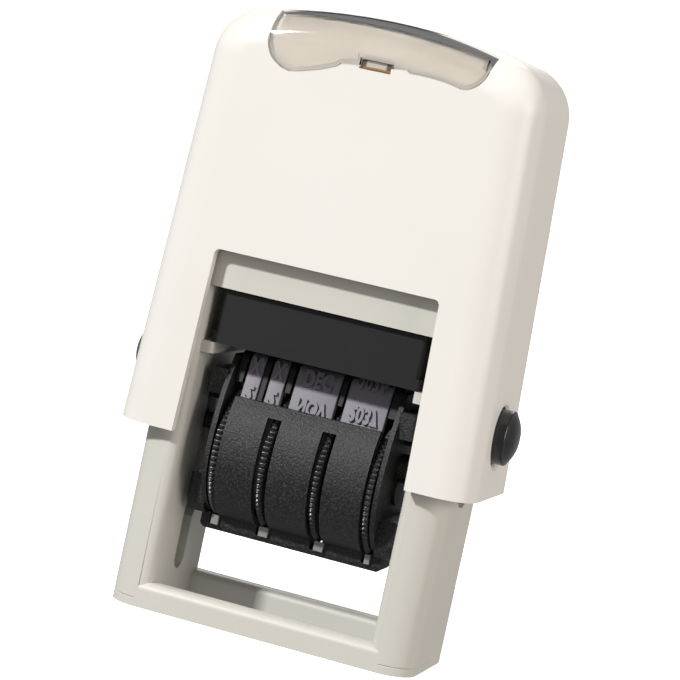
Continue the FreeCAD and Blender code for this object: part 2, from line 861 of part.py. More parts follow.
def make_cheek_plate():
    """Right side plate of the carriage with its guide arm, lug, trunnion and guide pin."""
    top = print_face - cheek_top_drop
    middle = (top + wheel_height) / 2
    waist = on_bulge(cheek_radius, cheek_top_half, top, middle)
    plate = outline(
        seen_from_side(cheek_inner),
        (-cheek_top_half, top),
        [
            (cheek_top_half, top),
            ((waist, middle), (cheek_radius, wheel_height)),
            ((0, wheel_height - cheek_radius), (-cheek_radius, wheel_height)),
            ((-waist, middle), (-cheek_top_half, top)),
        ],
    ).extrude(Vector(cheek_thickness, 0, 0))
    arm = box(cheek_outer - 0.1, arm_out, -arm_half_length, arm_half_length,
              pivot_height - arm_low, pivot_height + arm_high)
    arm = arm.makeFillet(0.5, edges_where(arm, lambda b: b.XMin > arm_out - 0.01))
    lug_bottom = wheel_height - cheek_radius - 0.1
    lug = box(cheek_outer - 0.1, lug_out, -lug_half_length, lug_half_length,
              lug_bottom, lug_bottom + lug_height)
    lug = lug.makeFillet(lug_round, edges_where(lug, lambda b: b.XLength > 1 and b.ZMax < lug_bottom + 0.01))
    lug = lug.makeFillet(0.5, edges_where(lug, lambda b: b.XMin > lug_out - 0.01))
    shoulder = rod(trunnion_radius, cheek_outer - 0.1, channel_inner - 0.1, 0, pivot_height)
    trunnion = rod(trunnion_end_radius, cheek_outer - 0.1, yoke_outer - 0.2, 0, pivot_height)
    pin_height = pivot_height - guide_radius
    pin_root = rod(pin_boss_radius, cheek_outer - 0.1, arm_out, 0, pin_height)
    pin = rod(guide_pin_radius, cheek_outer - 0.1, leg_inner + guide_pin_reach, 0, pin_height)
    plate = join([plate, arm, lug, shoulder, trunnion, pin_root, pin])
    plate = plate.cut(rod(axle_radius + 0.02, 0, cheek_outer, 0, wheel_height))
    head_room = rod(axle_head_radius + 0.1, cheek_outer, cheek_outer + axle_head + 0.1, 0, wheel_height)
    plate = plate.cut(head_room)
    return plate.cut(rod(anvil_peg_radius + 0.02, 0, cheek_outer, 0, anvil_centre - anvil_peg_drop))


def belt_normal():
    """Outward direction of the band's straight run on the +Y side."""
    dy = anvil_half_flat
    dz = anvil_centre - wheel_height
    length = math.hypot(dy, dz)
    lean = math.asin((band_inner_radius - anvil_round) / length)
    base = math.atan2(-dy, dz)
    return math.cos(base + lean), math.sin(base + lean)


def belt_face(x, offset):
    """Loop round the drum and over the anvil, drawn out by an offset."""
    ny, nz = belt_normal()
    low = band_inner_radius + offset
    high = anvil_round + offset
    foot = (low * ny, wheel_height + low * nz)
    shoulder = (anvil_half_flat + high * ny, anvil_centre + high * nz)
    bend = math.atan2(nz, ny)
    half = (bend + math.pi / 2) / 2
    over = (anvil_half_flat + high * math.cos(half), anvil_centre + high * math.sin(half))
    top = anvil_centre + high
    return outline(
        seen_from_side(x),
        (-anvil_half_flat, top),
        [
            (anvil_half_flat, top),
            (over, shoulder),
            foot,
            ((0, wheel_height - low), (-foot[0], foot[1])),
            (-shoulder[0], shoulder[1]),
            ((-over[0], over[1]), (-anvil_half_flat, top)),
        ],
    )


def belt_stations(offset, pitch):
    """Places (y, z, direction) between the rows of characters, evenly spaced round the loop."""
    ny, nz = belt_normal()
    low = band_inner_radius + offset
    high = anvil_round + offset
    bend = math.atan2(nz, ny)
    run = math.hypot(anvil_half_flat + (high - low) * ny,
                     anvil_centre - wheel_height + (high - low) * nz)
    lengths = [anvil_half_flat, high * (math.pi / 2 - bend), run, low * (bend + math.pi / 2)]
    half_loop = sum(lengths)
    count = round(2 * half_loop / pitch)
    places = []
    for number in range(count):
        along = 2 * half_loop * number / count
        side = 1 if along < half_loop else -1
        rest = min(along, 2 * half_loop - along)
        if rest < lengths[0]:
            y, z, angle = rest, anvil_centre + high, math.pi / 2
        elif rest < sum(lengths[:2]):
            angle = math.pi / 2 - (rest - lengths[0]) / high
            y = anvil_half_flat + high * math.cos(angle)
            z = anvil_centre + high * math.sin(angle)
        elif rest < sum(lengths[:3]):
            down = rest - sum(lengths[:2])
            angle = bend
            y = anvil_half_flat + high * ny + down * nz
            z = anvil_centre + high * nz - down * ny
        else:
            angle = bend - (rest - sum(lengths[:3])) / low
            y = low * math.cos(angle)
            z = wheel_height + low * math.sin(angle)
        places.append((side * y, z, angle if side > 0 else math.pi - angle))
    return places


def make_band(left, right, pitch):
    """Rubber band with a raised block for each row of characters."""
    offset = band_base + band_block
    length = Vector(right - left, 0, 0)
    band = belt_face(left, offset).extrude(length).cut(belt_face(left, 0).extrude(length))
    gap = (band_groove if pitch == band_pitch else band_groove + pitch - band_pitch) / 2
    for y, z, angle in belt_stations(offset, pitch):
        groove = box(left - 1, right + 1, -band_groove_depth, 1, -gap, gap)
        groove.rotate(Vector(0, 0, 0), Vector(1, 0, 0), math.degrees(angle))
        groove.translate(Vector(0, y, z))
        band = band.cut(groove)
    return band


def make_print_anvil():
    """Bar that the bands run over, with fins that keep them apart."""
    low = anvil_top - anvil_height
    half = anvil_half_flat + anvil_round - anvil_gap
    top = anvil_top - anvil_gap
    slant = (anvil_round - anvil_gap) * math.sqrt(0.5)
    corner = (anvil_half_flat + slant, anvil_centre + slant)
    bar = outline(
        seen_from_side(-cheek_inner),
        (-half, low),
        [
            (half, low),
            (half, anvil_centre),
            (corner, (anvil_half_flat, top)),
            (-anvil_half_flat, top),
            ((-corner[0], corner[1]), (-half, anvil_centre)),
        ],
    ).extrude(Vector(2 * cheek_inner, 0, 0))
    pegs = rod(anvil_peg_radius, -cheek_inner - anvil_peg_length, cheek_inner + anvil_peg_length,
               0, anvil_centre - anvil_peg_drop)
    above = box(-cheek_inner, cheek_inner, -cap_half_depth, cap_half_depth,
                wheel_height + rim_radius + fin_clear, cap_top)
    pieces = [bar, pegs]
    fin_offset = band_base + fin_height - band_block
    for left, right in fins:
        fin = belt_face(left, fin_offset).extrude(Vector(right - left, 0, 0))
        pieces.append(fin.common(above))
    web = belt_face(web_left, fin_offset).extrude(Vector(web_right - web_left, 0, 0))
    pieces.append(web.cut(rod(axle_radius + running_gap, web_left - 1, web_right + 1, 0, wheel_height)))
    return join(pieces)


def make_axle():
    """Pin through the wheels, with a low round head outside each cheek."""
    pin = rod(axle_radius, -cheek_outer - axle_head, cheek_outer + axle_head, 0, wheel_height)
    heads = [rod(axle_head_radius, cheek_outer, cheek_outer + axle_head, 0, wheel_height)]
    heads.append(mirrored(heads[0]))
    axle = join([pin] + heads)
    ends = edges_where(axle, lambda b: b.XLength < 0.01 and abs(b.XMin) > cheek_outer + axle_head - 0.01)
    return axle.makeChamfer(axle_head / 2, ends)


def knurled_disc(left, right):
    """Disc with a fine saw-tooth edge."""
    points = []
    for number in range(2 * knurl_count):
        radius = rim_radius - knurl_depth * (number % 2)
        angle = math.pi * number / knurl_count
        points.append((radius * math.cos(angle), wheel_height + radius * math.sin(angle)))
    return outline(seen_from_side(left), points[0], points[1:]).extrude(Vector(right - left, 0, 0))


def make_wheel(left, right, rim):
    """Thumbwheel: a fluted drum inside its band and a knurled rim beside it."""
    drum_left = left + drum_side_gap
    drum_right = right - drum_side_gap
    drum = rod(drum_radius, drum_left, drum_right, 0, wheel_height)
    flutes = []
    for number in range(drum_flutes):
        angle = 2 * math.pi * number / drum_flutes
        flutes.append(rod(flute_radius, drum_left - 1, drum_right + 1, drum_radius * math.cos(angle),
                          wheel_height + drum_radius * math.sin(angle)))
    drum = drum.cut(flutes)
    rim_left = rim - rim_width / 2
    rim_right = rim + rim_width / 2
    hub = rod(hub_radius, min(drum_left, rim_left), max(drum_right, rim_right), 0, wheel_height)
    wheel = join([drum, hub, knurled_disc(rim_left, rim_right)])
    return wheel.cut(rod(axle_radius + running_gap, -cap_half_width, cap_half_width, 0, wheel_height))


def make_band_cover(cheeks):
    """Curved guard over the wheels, with slots for two thumb rims and a lip below."""
    centre, big = bulge(cover_radius, cover_top_reach, cover_top)
    middle = (cover_top + wheel_height) / 2
    waist = on_bulge(cover_radius, cover_top_reach, cover_top, middle)
    small = cover_radius - cover_wall
    rise = cover_top - wheel_height
    top_in = math.sqrt((big - cover_wall) ** 2 - rise ** 2) - centre
    waist_in = math.sqrt((big - cover_wall) ** 2 - (rise / 2) ** 2) - centre
    cover = outline(
        seen_from_side(-cover_half_width),
        (-cover_top_reach, cover_top),
        [
            ((-waist, middle), (-cover_radius, wheel_height)),
            ((0, wheel_height - cover_radius), (cover_radius, wheel_height)),
            ((waist, middle), (cover_top_reach, cover_top)),
            (top_in, cover_top),
            ((waist_in, middle), (small, wheel_height)),
            ((0, wheel_height - small), (-small, wheel_height)),
            ((-waist_in, middle), (-top_in, cover_top)),
        ],
    ).extrude(Vector(2 * cover_half_width, 0, 0))
    lip = box(-lip_half_width, lip_half_width, -lip_half_depth, lip_half_depth, lip_bottom, lip_top)
    lip = lip.makeFillet(lip_round, edges_where(lip, lambda b: b.ZMax < lip_bottom + 0.01))
    cover = cover.fuse(lip.cut(rod(band_inner_radius + band_base + band_block + 0.4, -cheek_inner,
                                   cheek_inner, 0, wheel_height)))
    reach = cover_radius + spare
    rim_low = wheel_height - rim_radius - rim_clear
    for left, right in cover_slots:
        cover = cover.cut(box(left, right, -reach, reach, rim_low, slot_top))
    for notch_left, (_, tab_right) in zip(comb_notches, comb_tabs):
        cover = cover.cut(box(notch_left, tab_right + comb_clear, -lip_half_depth - 1, lip_half_depth + 1,
                              comb_tab_bottom - comb_clear, lip_top + 1))
    cover = cover.cut(comb_bar(comb_clear))
    for cheek in cheeks:
        cover = cover.cut(cheek)
    return cover.removeSplitter()


def comb_bar(grow):
    """Bar of the detent comb, or its seat in the lip when it is grown."""
    return box(-comb_half_length - grow, comb_half_length + grow,
               -comb_bar_half_depth - grow, comb_bar_half_depth + grow,
               comb_bar_bottom - grow, comb_bar_bottom + comb_bar_height + grow)


def make_detent_comb():
    """Comb whose four tabs stand up under the thumb rims and click on them."""
    pieces = [comb_bar(0)]
    for left, right in comb_tabs:
        tab = box(left, right, -comb_tab_half_depth, comb_tab_half_depth, comb_tab_bottom, comb_tab_top)
        pieces.append(tab.cut(rod(rim_radius + comb_gap, left - 1, right + 1, 0, wheel_height)))
    return join(pieces)


def build():
    pieces = {}
    pieces["cap_shell"] = make_cap_shell()
    pieces["index_window"] = make_index_window()
    pieces["index_card"] = make_index_card()
    pieces["window_seal"] = make_window_seal()
    pieces["lock_button_right"] = make_lock_button()
    pieces["lock_button_left"] = mirrored(pieces["lock_button_right"])
    pieces["carriage_yoke"] = make_yoke()
    pieces["base_frame"] = make_base_frame()
    pieces["sole_plate_right"] = make_sole_plate(1)
    pieces["sole_plate_left"] = make_sole_plate(-1)
    pieces["return_spring"] = make_return_spring()
    pieces["pad_tray"] = make_pad_tray()
    pieces["ink_felt"] = make_ink_felt()
    right = make_cheek_plate()
    left = mirrored(right)
    pieces["carriage_cheek_right"] = right
    pieces["carriage_cheek_left"] = left
    pieces["print_anvil"] = make_print_anvil()
    pieces["wheel_axle"] = make_axle()
    pieces["band_cover"] = make_band_cover([right, left])
    pieces["detent_comb"] = make_detent_comb()
    for name, (band_left, band_right, rim) in wheels.items():
        pitch = year_pitch if name == "year" else band_pitch
        pieces[name + "_band"] = make_band(band_left, band_right, pitch)
        pieces[name + "_wheel"] = make_wheel(band_left, band_right, rim)
    return pieces


os.makedirs("parts", exist_ok=True)
for node, shape in build().items():
    print(node, len(shape.Solids), "solid", shape.isValid(), round(shape.Volume, 1), "mm3")
    shape.exportStep("parts/" + node + ".step")
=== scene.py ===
import math

import bpy
import numpy as np
from mathutils import Matrix, Vector


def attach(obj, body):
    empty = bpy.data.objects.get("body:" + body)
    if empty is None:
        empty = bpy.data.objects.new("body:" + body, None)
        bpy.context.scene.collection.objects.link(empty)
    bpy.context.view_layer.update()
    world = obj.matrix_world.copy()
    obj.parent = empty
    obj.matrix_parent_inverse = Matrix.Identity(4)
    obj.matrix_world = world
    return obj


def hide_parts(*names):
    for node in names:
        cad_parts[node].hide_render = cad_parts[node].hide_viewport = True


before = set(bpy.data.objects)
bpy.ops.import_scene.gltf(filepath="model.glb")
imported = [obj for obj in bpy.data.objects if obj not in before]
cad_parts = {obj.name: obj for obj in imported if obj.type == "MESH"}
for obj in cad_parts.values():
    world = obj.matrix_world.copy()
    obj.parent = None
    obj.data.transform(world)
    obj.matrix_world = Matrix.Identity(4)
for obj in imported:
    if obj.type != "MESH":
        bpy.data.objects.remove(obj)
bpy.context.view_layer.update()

mm = 0.001  # the scene is in metres, with X to the right, -Y towards the user and Z up


# Shader maths: an expression on sockets adds its own nodes

class Wire:
    def __init__(self, tree, socket=None):
        self.tree = tree
        self.socket = socket

    def node(self, kind, settings=None, values=None, out=0):
        made = self.tree.nodes.new(kind)
        for key, value in (settings or {}).items():
            setattr(made, key, value)
        for key, value in (values or {}).items():
            if isinstance(value, Wire):
                self.tree.links.new(value.socket, made.inputs[key])
            else:
                made.inputs[key].default_value = value
        return Wire(self.tree, made.outputs[out])

    def math(self, operation, *values):
        return self.node("ShaderNodeMath", {"operation": operation}, dict(enumerate(values)))

    def __add__(self, other):
        return self.math("ADD", self, other)

    def __sub__(self, other):
        return self.math("SUBTRACT", self, other)

    def __rsub__(self, other):
        return self.math("SUBTRACT", other, self)

    def __mul__(self, other):
        return self.math("MULTIPLY", self, other)

    __radd__ = __add__
    __rmul__ = __mul__

    def magnitude(self):
        return self.math("ABSOLUTE", self)

    def ramp(self, low, high):  # 0 below low, 1 above high, smooth between
        settings = {"interpolation_type": "SMOOTHSTEP"}
        return self.node("ShaderNodeMapRange", settings, {"Value": self, "From Min": low, "From Max": high})

    def mix(self, colourA, colourB):  # this value blends from one colour to the other
        return self.node("ShaderNodeMix", {"data_type": "RGBA"}, {0: self, 6: colourA, 7: colourB}, out=2)


def rgb(*shades):  # display colour, 0 to 255, as the linear colour that a socket takes
    linear = []
    for share in (shade / 255 for shade in shades):
        linear.append(share / 12.92 if share <= 0.04045 else ((share + 0.055) / 1.055) ** 2.4)
    return (*linear, 1)


def startMaterial(name):
    material = bpy.data.materials.new(name)
    material.use_nodes = True
    tree = material.node_tree
    return material, tree.nodes["Principled BSDF"], Wire(tree).node("ShaderNodeTexCoord", out="Object")


def feed(shader, name, wire):
    wire.tree.links.new(wire.socket, shader.inputs[name])


def noise(place, perMm, detail, roughness=0.5):
    values = {"Vector": place, "Scale": perMm / mm, "Detail": detail, "Roughness": roughness}
    return place.node("ShaderNodeTexNoise", {"noise_dimensions": "3D"}, values)


def bump(shader, height, depth):
    normal = height.node("ShaderNodeBump", None, {"Strength": 1.0, "Distance": depth * mm, "Height": height})
    feed(shader, "Normal", normal)


# Moulded pieces: a fine grain over wide, faint clouds; a speckle ramp instead turns the grain into bright
# grains, painted glints of a spark-eroded texture

mould = {"cloudPerMm": 0.05, "cloudRange": (0.3, 0.7), "cloudShare": 0.7, "detail": 3, "grainRoughness": 0.6}
looks = {
    "capPlastic": {
        "colour": rgb(240, 236, 229), "colourB": rgb(237, 233, 225), "grainPerMm": 3.0, "grainDepth": 0.006,
        "roughness": 0.36, "roughnessSpread": 0.06, "specular": 0.5,
    },
    "framePlastic": {
        "colour": rgb(212, 209, 200), "colourB": rgb(208, 205, 195), "grainPerMm": 3.0, "grainDepth": 0.008,
        "roughness": 0.42, "roughnessSpread": 0.06, "specular": 0.45,
    },
    # sparkBlack: the lighter colour, put on the bright grains, is painted glints of the spark-eroded texture
    "sparkBlack": {
        "colour": rgb(17, 17, 18), "colourB": rgb(58, 58, 60), "glintSpeckle": (0.46, 0.66), "grainPerMm": 4.2,
        "grainDepth": 0.1, "roughness": 0.5, "roughnessSpread": 0.25, "specular": 0.5,
    },
    "trayBlack": {
        "colour": rgb(31, 31, 32), "colourB": rgb(36, 36, 37), "grainPerMm": 6.0, "grainDepth": 0.012,
        "roughness": 0.5, "roughnessSpread": 0.1, "specular": 0.3,
    },
    "wheelBlack": {
        "colour": rgb(46, 46, 48), "colourB": rgb(60, 60, 62), "grainPerMm": 5.0, "grainDepth": 0.01,
        "roughness": 0.3, "roughnessSpread": 0.1, "specular": 0.6,
    },
    # window seal: a dark grey strip put where the gap between the lens and the crown lies in shadow, painted
    # shade
    "paintedShadowGrey": {
        "colour": rgb(92, 92, 94), "colourB": rgb(108, 108, 110), "grainPerMm": 2.0, "grainDepth": 0.004,
        "roughness": 0.35, "roughnessSpread": 0.1, "specular": 0.4,
    },
    "buttonBlack": {
        "colour": rgb(28, 28, 29), "colourB": rgb(32, 32, 33), "grainPerMm": 2.0, "grainDepth": 0.002,
        "roughness": 0.22, "roughnessSpread": 0.05, "specular": 0.5, "coat": 0.4, "coatRoughness": 0.12,
    },
    "bandRubber": {
        "colour": rgb(130, 126, 134), "colourB": rgb(142, 138, 146), "grainPerMm": 4.0, "grainDepth": 0.015,
        "roughness": 0.5, "roughnessSpread": 0.12, "specular": 0.45,
    },
    "greyAcetal": {
        "colour": rgb(150, 149, 146), "colourB": rgb(140, 139, 137), "grainPerMm": 4.0, "grainDepth": 0.01,
        "roughness": 0.4, "roughnessSpread": 0.08, "specular": 0.5,
    },
    "inkFelt": {
        "colour": rgb(22, 22, 28), "colourB": rgb(34, 34, 42), "grainPerMm": 7.0, "grainDepth": 0.15,
        "roughness": 0.85, "roughnessSpread": 0.2, "specular": 0.3,
    },
    "indexCard": {
        "colour": rgb(246, 238, 227), "colourB": rgb(242, 233, 220), "grainPerMm": 5.0, "grainDepth": 0.02,
        "roughness": 0.7, "roughnessSpread": 0.1, "specular": 0.3,
    },
}


def moulding(name, look):
    material, shader, place = startMaterial(name)
    grain = noise(place, look["grainPerMm"], mould["detail"], mould["grainRoughness"])
    # bright grains here are painted glints, not a second colour of the plastic
    if "glintSpeckle" in look:
        tone = grain.ramp(*look["glintSpeckle"])
    else:
        cloud = noise(place, mould["cloudPerMm"], mould["detail"]).ramp(*mould["cloudRange"])
        tone = cloud * mould["cloudShare"] + grain * (1 - mould["cloudShare"])
    feed(shader, "Base Color", tone.mix(look["colour"], look["colourB"]))
    feed(shader, "Roughness", look["roughness"] + (grain - 0.5) * look["roughnessSpread"])
    bump(shader, grain, look["grainDepth"])
    shader.inputs["Specular IOR Level"].default_value = look["specular"]
    if "coat" in look:
        shader.inputs["Coat Weight"].default_value = look["coat"]
        shader.inputs["Coat Roughness"].default_value = look["coatRoughness"]
    return material


# Drawn steel of the spring, and clear acrylic of the index window

steel = {
    "scratchPerMm": 8.0, "detail": 2, "colour": rgb(170, 170, 172), "colourB": rgb(200, 200, 202),
    "roughness": 0.25, "roughnessSpread": 0.15, "scratchDepth": 0.004,
}
acrylic = {
    "hazePerMm": 0.4, "detail": 2, "colour": (0.97, 0.96, 0.95, 1), "colourB": (0.93, 0.92, 0.9, 1),
    "roughness": 0.04, "roughnessSpread": 0.03, "ior": 1.49,
}


def steelPaint():
    material, shader, place = startMaterial("drawnSteel")
    scratch = noise(place, steel["scratchPerMm"], steel["detail"])
    feed(shader, "Base Color", scratch.mix(steel["colour"], steel["colourB"]))
    feed(shader, "Roughness", steel["roughness"] + scratch * steel["roughnessSpread"])
    shader.inputs["Metallic"].default_value = 1.0
    bump(shader, scratch, steel["scratchDepth"])
    return material


def clearPaint():
    material, shader, place = startMaterial("clearAcrylic")
    haze = noise(place, acrylic["hazePerMm"], acrylic["detail"])
    feed(shader, "Base Color", haze.mix(acrylic["colour"], acrylic["colourB"]))
    feed(shader, "Roughness", acrylic["roughness"] + haze * acrylic["roughnessSpread"])
    shader.inputs["Transmission Weight"].default_value = 1.0
    shader.inputs["IOR"].default_value = acrylic["ior"]
    return material


paints = {name: moulding(name, look) for name, look in looks.items()}
paints["drawnSteel"] = steelPaint()
paints["clearAcrylic"] = clearPaint()

nodePaint = {
    "cap_shell": "capPlastic",
    "index_window": "clearAcrylic",
    "index_card": "indexCard",
    # painted shade: a dark strip standing for a shadowed gap above the lens
    "window_seal": "paintedShadowGrey",
    "lock_button_right": "buttonBlack",
    "lock_button_left": "buttonBlack",
    "carriage_yoke": "trayBlack",
    "base_frame": "framePlastic",
    "sole_plate_right": "framePlastic",
    "sole_plate_left": "framePlastic",
    "return_spring": "drawnSteel",
    "pad_tray": "trayBlack",
    "ink_felt": "inkFelt",
    "carriage_cheek_right": "sparkBlack",
    "carriage_cheek_left": "sparkBlack",
    "print_anvil": "trayBlack",
    "wheel_axle": "trayBlack",
    "band_cover": "sparkBlack",
    "detent_comb": "greyAcetal",
    "day_tens_band": "bandRubber",
    "day_units_band": "bandRubber",
    "month_band": "bandRubber",
    "year_band": "bandRubber",
    "day_tens_wheel": "wheelBlack",
    "day_units_wheel": "wheelBlack",
    "month_wheel": "wheelBlack",
    "year_wheel": "wheelBlack",
}
for name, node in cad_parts.items():
    node.data.materials.clear()
    node.data.materials.append(paints[nodePaint[name]])
print("painted", len(nodePaint), "nodes")


# What the new pieces share

def gridFaces(rows, columns, closedRows, closedColumns, flip=False):
    # Quads of a grid whose points are numbered row by row; a closed way joins its last line to its first.
    row = np.arange(rows if closedRows else rows - 1)[:, None]
    column = np.arange(columns if closedColumns else columns - 1)[None, :]
    a, b = row * columns, (row + 1) % rows * columns
    k, n = column, (column + 1) % columns
    corners = [a + k, b + k, b + n, a + n] if flip else [a + k, a + n, b + n, b + k]
    return np.stack(corners, axis=-1).reshape(-1, 4).tolist()


def turnedPoints(x, radius, angle, y, z):
    # Each point of an outline of x and radius goes round the line along X through (y, z).
    deep, high = y + radius * np.cos(angle), z + radius * np.sin(angle)
    return np.stack([np.broadcast_to(x, deep.shape), deep, high], axis=-1).reshape(-1, 3)


def makePiece(name, points, faces, material):
    mesh = bpy.data.meshes.new(name)
    mesh.from_pydata(points.tolist(), [], faces)
    mesh.materials.append(material)
    piece = bpy.data.objects.new(name, mesh)
    bpy.context.scene.collection.objects.link(piece)
    return piece


def shadeByAngle(piece, degrees):
    piece.data.shade_smooth()
    piece.data.set_sharp_from_angle(angle=math.radians(degrees))


# Date bands: a belt over the anvil and the drum, with raised figures of the same rubber

belt = {
    "axleHeight": 20.6 * mm, "anvilHeight": 31.98 * mm, "halfFlat": 2.4 * mm, "anvilRound": 0.45 * mm,
    "drumRound": 5.85 * mm, "thickness": 0.86 * mm, "edgeRound": 0.14 * mm, "edgePoints": 5, "steps": 240,
    "sharpAngle": 35,
}
figure = {
    "height": 2.1 * mm, "top": 1.23 * mm, "sink": 0.1 * mm, "slim": 0.72, "widthShare": 0.7, "bold": 0.042,
    "resolution": 4, "probe": 0.01 * mm,
}
bands = {  # left and right edge, place of the first row along the belt, rows with - for a blank one
    "day_tens": {"edges": (-9.35, -7.35), "first": 4.66, "rows": "X 2 3 0 1 X 2 3 0 1 X 2 3 0 1".split()},
    "day_units": {"edges": (-6.3, -4.3), "first": 4.66, "rows": "X 2 3 4 5 6 7 8 9 0 1 - X 2 3".split()},
    "month": {"edges": (-3.05, 2.65), "first": 4.66,
              "rows": "DEC NOV OCT SEP AUG JUL JUN MAY APR MAR FEB JAN - - -".split()},
    "year": {"edges": (3.75, 9.2), "first": 3.4,
             "rows": "2036 2037 2038 2039 2040 2041 2042 2030 2031 2032 2033 2034 2035".split()},
}


def beltLine(along, height):
    # Place of the belt at a length along it and a height over its inner face, and the length of the loop.
    # It starts in the middle of the print face and goes to the front: flat, anvil corner, straight run,
    # half the drum; the rear half is its mirror image.
    half, climb = belt["halfFlat"], belt["anvilHeight"] - belt["axleHeight"]
    growth = belt["drumRound"] - belt["anvilRound"]
    angle = math.atan2(-half, climb) + math.asin(growth / math.hypot(half, climb))
    corner, drum = belt["anvilRound"] + height, belt["drumRound"] + height
    run = math.hypot(half - growth * math.cos(angle), climb - growth * math.sin(angle))
    ends = np.cumsum([half, corner * (math.pi / 2 - angle), run, drum * (angle + math.pi / 2)])
    along = np.mod(along, 2 * ends[3])
    front = along < ends[3]
    rest = np.where(front, along, 2 * ends[3] - along)
    onFlat, onDrum = rest < ends[0], rest >= ends[2]
    turn = np.select(
        [onFlat, rest < ends[1], rest < ends[2]],
        [np.full_like(rest, math.pi / 2), math.pi / 2 - (rest - ends[0]) / corner, np.full_like(rest, angle)],
        angle - (rest - ends[2]) / drum)
    flat = np.where(onFlat, rest, half) + np.where(onFlat, 0, corner * np.cos(turn))
    down = np.clip(rest - ends[1], 0, run)
    depth = np.where(onDrum, drum * np.cos(turn), flat + down * math.sin(angle))
    lift = np.where(onDrum, belt["axleHeight"] + drum * np.sin(turn),
                    belt["anvilHeight"] + corner * np.sin(turn) - down * math.cos(angle))
    return np.where(front, -depth, depth), lift, 2 * ends[3]


def loopLength(height):
    return beltLine(np.zeros(1), height)[2]


def beltMesh(left, right):
    # The section is a rectangle, rounded on the print side; each of its points goes round its own loop
    # by equal shares of the loop's length, so the rows lean a little on the corners.
    turn = np.linspace(0, math.pi / 2, belt["edgePoints"])
    edge, top = belt["edgeRound"], belt["thickness"]
    x = np.concatenate([[right], right - edge + edge * np.cos(turn), left + edge - edge * np.sin(turn), [left]])
    heights = np.concatenate([[0], top - edge + edge * np.sin(turn), top - edge + edge * np.cos(turn), [0]])
    share = np.linspace(0, 1, belt["steps"], endpoint=False)
    loops = [np.stack(beltLine(share * loopLength(height), height)[:2], axis=-1) for height in heights]
    across = np.broadcast_to(x[None, :, None], (len(share), len(x), 1))
    points = np.concatenate([across, np.stack(loops, axis=1)], axis=2).reshape(-1, 3)
    return points, gridFaces(len(share), len(x), True, True)


def textMesh(text):
    curve = bpy.data.curves.new("figure", "FONT")
    curve.body = text
    curve.size = 1.0
    curve.align_x = "CENTER"
    curve.align_y = "CENTER"
    curve.offset = figure["bold"]
    curve.resolution_u = figure["resolution"]
    curve.extrude = 0.5
    thing = bpy.data.objects.new("figure", curve)
    bpy.context.scene.collection.objects.link(thing)
    bpy.context.view_layer.update()
    mesh = bpy.data.meshes.new_from_object(thing.evaluated_get(bpy.context.evaluated_depsgraph_get()))
    points = np.empty(len(mesh.vertices) * 3)
    mesh.vertices.foreach_get("co", points)
    faces = [list(p.vertices)[::-1] for p in mesh.polygons]  # the belt mirrors the text and turns it inside out
    bpy.data.objects.remove(thing)
    bpy.data.curves.remove(curve)
    bpy.data.meshes.remove(mesh)
    return points.reshape(-1, 3), faces


def figureMesh(band, number):
    # The text's height runs along the belt and its width along X; the text's upper side stands out from the
    # belt, square to it, and the lower side sinks below the belt's face.
    left, right = (v * mm for v in band["edges"])
    flat, faces = textMesh(band["rows"][number])
    wide, tall = np.ptp(flat[:, 0]), np.ptp(flat[:, 1])
    fit = min(figure["height"] / tall * figure["slim"] * wide, (right - left) * figure["widthShare"]) / wide
    middle = (flat[:, 1].max() + flat[:, 1].min()) / 2
    face = belt["thickness"]
    row = band["first"] * mm + number * (loopLength(face) / len(band["rows"]))
    along = row + (flat[:, 1] - middle) * figure["height"] / tall
    y, z, _ = beltLine(along, face)
    aheadY, aheadZ, _ = beltLine(along + figure["probe"], face)
    way = np.stack([aheadY - y, aheadZ - z], axis=-1)
    way /= np.linalg.norm(way, axis=-1, keepdims=True)
    out = np.where(flat[:, 2] > 0, figure["top"], face - figure["sink"]) - face
    points = [(left + right) / 2 + flat[:, 0] * fit, y + out * way[:, 1], z - out * way[:, 0]]
    return np.stack(points, axis=-1), faces


def buildBand(name, band):
    points, faces = beltMesh(*(v * mm for v in band["edges"]))
    parts, total = [points], len(points)
    for number, text in enumerate(band["rows"]):
        if text != "-":
            points, cells = figureMesh(band, number)
            parts.append(points)
            faces += [[v + total for v in cell] for cell in cells]
            total += len(points)
    piece = makePiece(name + "_date_band", np.concatenate(parts), faces, paints["bandRubber"])
    shadeByAngle(piece, belt["sharpAngle"])
    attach(piece, "carriage")
    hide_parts(name + "_band")


for name, band in bands.items():
    buildBand(name, band)
print("bands", len(bands))

# Thumbwheels: a drum inside the band, a hub, and a rim beside it with a row of domed pips

wheel = {
    "drumRadius": 5.65 * mm, "sideGap": 0.12 * mm, "hubRadius": 3.4 * mm, "boreRadius": 1.26 * mm,
    "rimHalfWidth": 0.4 * mm, "rimRadius": 8.06 * mm, "rimPoints": 11, "pips": 76, "stepsPerPip": 8,
    "pipHeight": 0.42 * mm, "pipPower": 1.4, "sharpAngle": 40,
}
rims = {"day_tens": -10.05 * mm, "day_units": -3.8 * mm, "month": 3.2 * mm, "year": 10.0 * mm}


